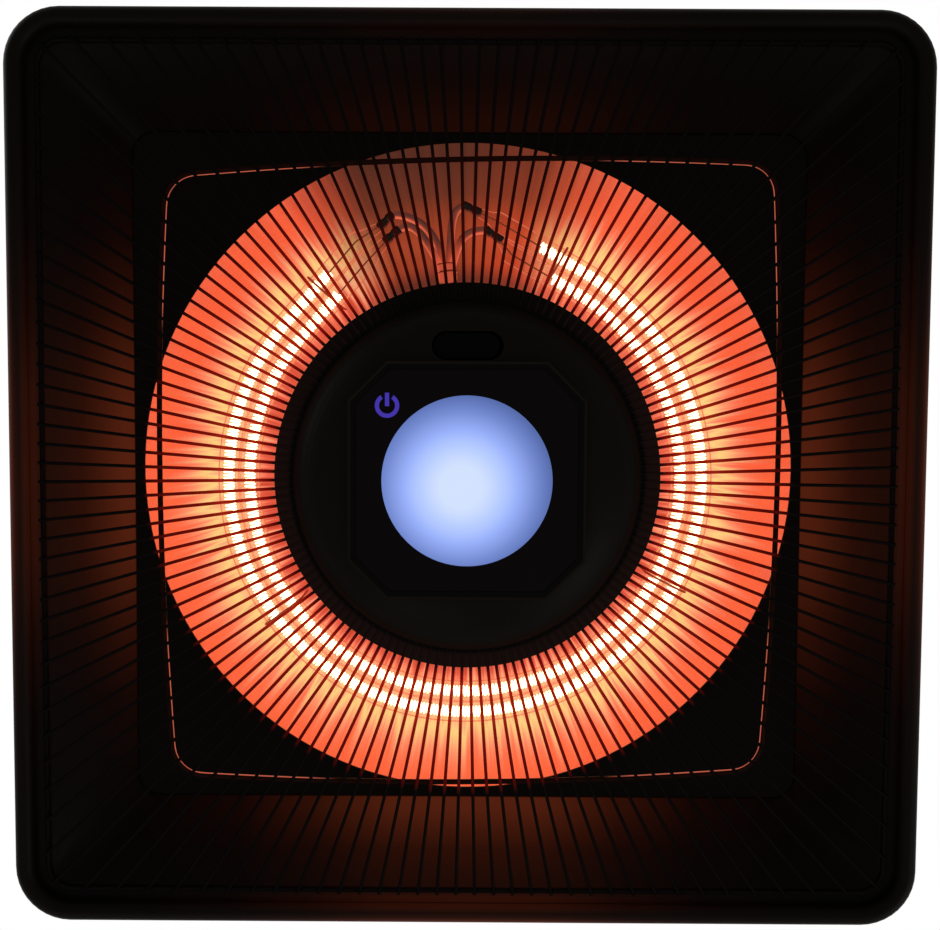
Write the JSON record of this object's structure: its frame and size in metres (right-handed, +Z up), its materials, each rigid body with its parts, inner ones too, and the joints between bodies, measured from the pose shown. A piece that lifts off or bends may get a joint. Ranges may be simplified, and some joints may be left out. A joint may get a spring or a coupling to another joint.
{
  "type": "ceiling mounted patio heater",
  "caption": "Square hanging electric patio heater with a ring-shaped quartz tube in a spun reflector, a radial wire guard and a lit control hub, on a ceiling eye and a snap link.",
  "frame": {"origin": "centre of the ceiling plate's upper face, which rests against the ceiling", "axes": "+Z points up into the ceiling, -Y is the side of the hub with the main switch, +X is to the right seen from below with the main switch at the top"},
  "size_m": [0.425, 0.425, 0.3192],
  "materials": {
    "black_enamel": "satin",
    "zinc": "zinc plated",
    "wire_enamel": "satin",
    "spun_aluminium": "polished",
    "galvanised": "matt",
    "hub_plastic": "satin",
    "black_plastic": "satin",
    "glossy_panel": "glossy",
    "quartz": "clear",
    "filament": "glowing",
    "cap_steel": "satin",
    "glass_fibre": "woven",
    "ceramic": "matt",
    "rubber": "matt",
    "board_green": "satin",
    "relay_blue": "satin",
    "white_plastic": "satin",
    "lens": "frosted",
    "symbol": "lit",
    "chip_yellow": "matt",
    "brass": "satin",
    "cutout_body": "satin"
  },
  "bodies": {
    "ceiling_mount": {"ceiling_plate": "black_enamel", "ceiling_eye": "zinc", "eye_locknut": "zinc"},
    "link": {"snap_link": "zinc", "gate_pin": "zinc", "gate_spring": "zinc"},
    "gate": {"snap_gate": "zinc"},
    "rocker": {"rocker_paddle": "black_plastic"},
    "heater": {"heater_eye": "zinc", "eye_washer": "zinc", "eye_nut": "zinc", "top_cap": "black_enamel", "cap_gasket": "rubber", "cap_screws": "zinc", "gland_body": "black_plastic", "gland_nut": "black_plastic", "gland_locknut": "black_plastic", "gland_seal": "rubber", "chassis_plate": "galvanised", "chassis_screws": "zinc", "terminal_block": "white_plastic", "lamp_driver": "white_plastic", "shade": "black_enamel", "baffle_plate": "black_enamel", "baffle_brackets": "galvanised", "reflector": "spun_aluminium", "reflector_nuts": "zinc", "heat_shield": "galvanised", "shield_posts": "zinc", "shield_screws": "zinc", "thermal_cutout": "cutout_body", "quartz_tube": "quartz", "filament_outer": "filament", "filament_inner": "filament", "tube_caps": "cap_steel", "tube_clips": "zinc", "lead_sleeves": "glass_fibre", "lead_grommet": "ceramic", "hub_column": "galvanised", "column_screws": "zinc", "hub_pan": "black_enamel", "control_board": "board_green", "relay": "relay_blue", "hub_cover": "hub_plastic", "hub_screws": "zinc", "panel_frame": "black_plastic", "panel_glass": "glossy_panel", "power_symbol": "symbol", "touch_board": "board_green", "lamp_lens": "lens", "lamp_board": "white_plastic", "lamp_chips": "chip_yellow", "rocker_housing": "black_plastic", "rocker_terminals": "brass", "guard_wires": "wire_enamel", "guard_outer_ring": "wire_enamel", "guard_support_ring": "wire_enamel", "guard_hub_ring": "wire_enamel"}
  },
  "joints": [
    {"name": "link_swing", "type": "hinge", "parent": "ceiling_mount", "child": "link", "pos_m": [0, 0, -0.054], "axis": [1, 0, 0], "range_deg": [-20, 20]},
    {"name": "gate_turn", "type": "hinge", "parent": "link", "child": "gate", "pos_m": [0, 0.014, -0.0876], "axis": [1, 0, 0], "range_deg": [0, 25], "stiffness_Nm_per_rad": 0.05, "springref_deg": -28.65},
    {"name": "heater_swing", "type": "hinge", "parent": "link", "child": "heater", "pos_m": [0, 0, -0.1066], "axis": [0, 1, 0], "range_deg": [-20, 20]},
    {"name": "rocker_turn", "type": "hinge", "parent": "heater", "child": "rocker", "pos_m": [0, -0.059, -0.3027], "axis": [0, -1, 0], "range_deg": [0, 16]}
  ]
}
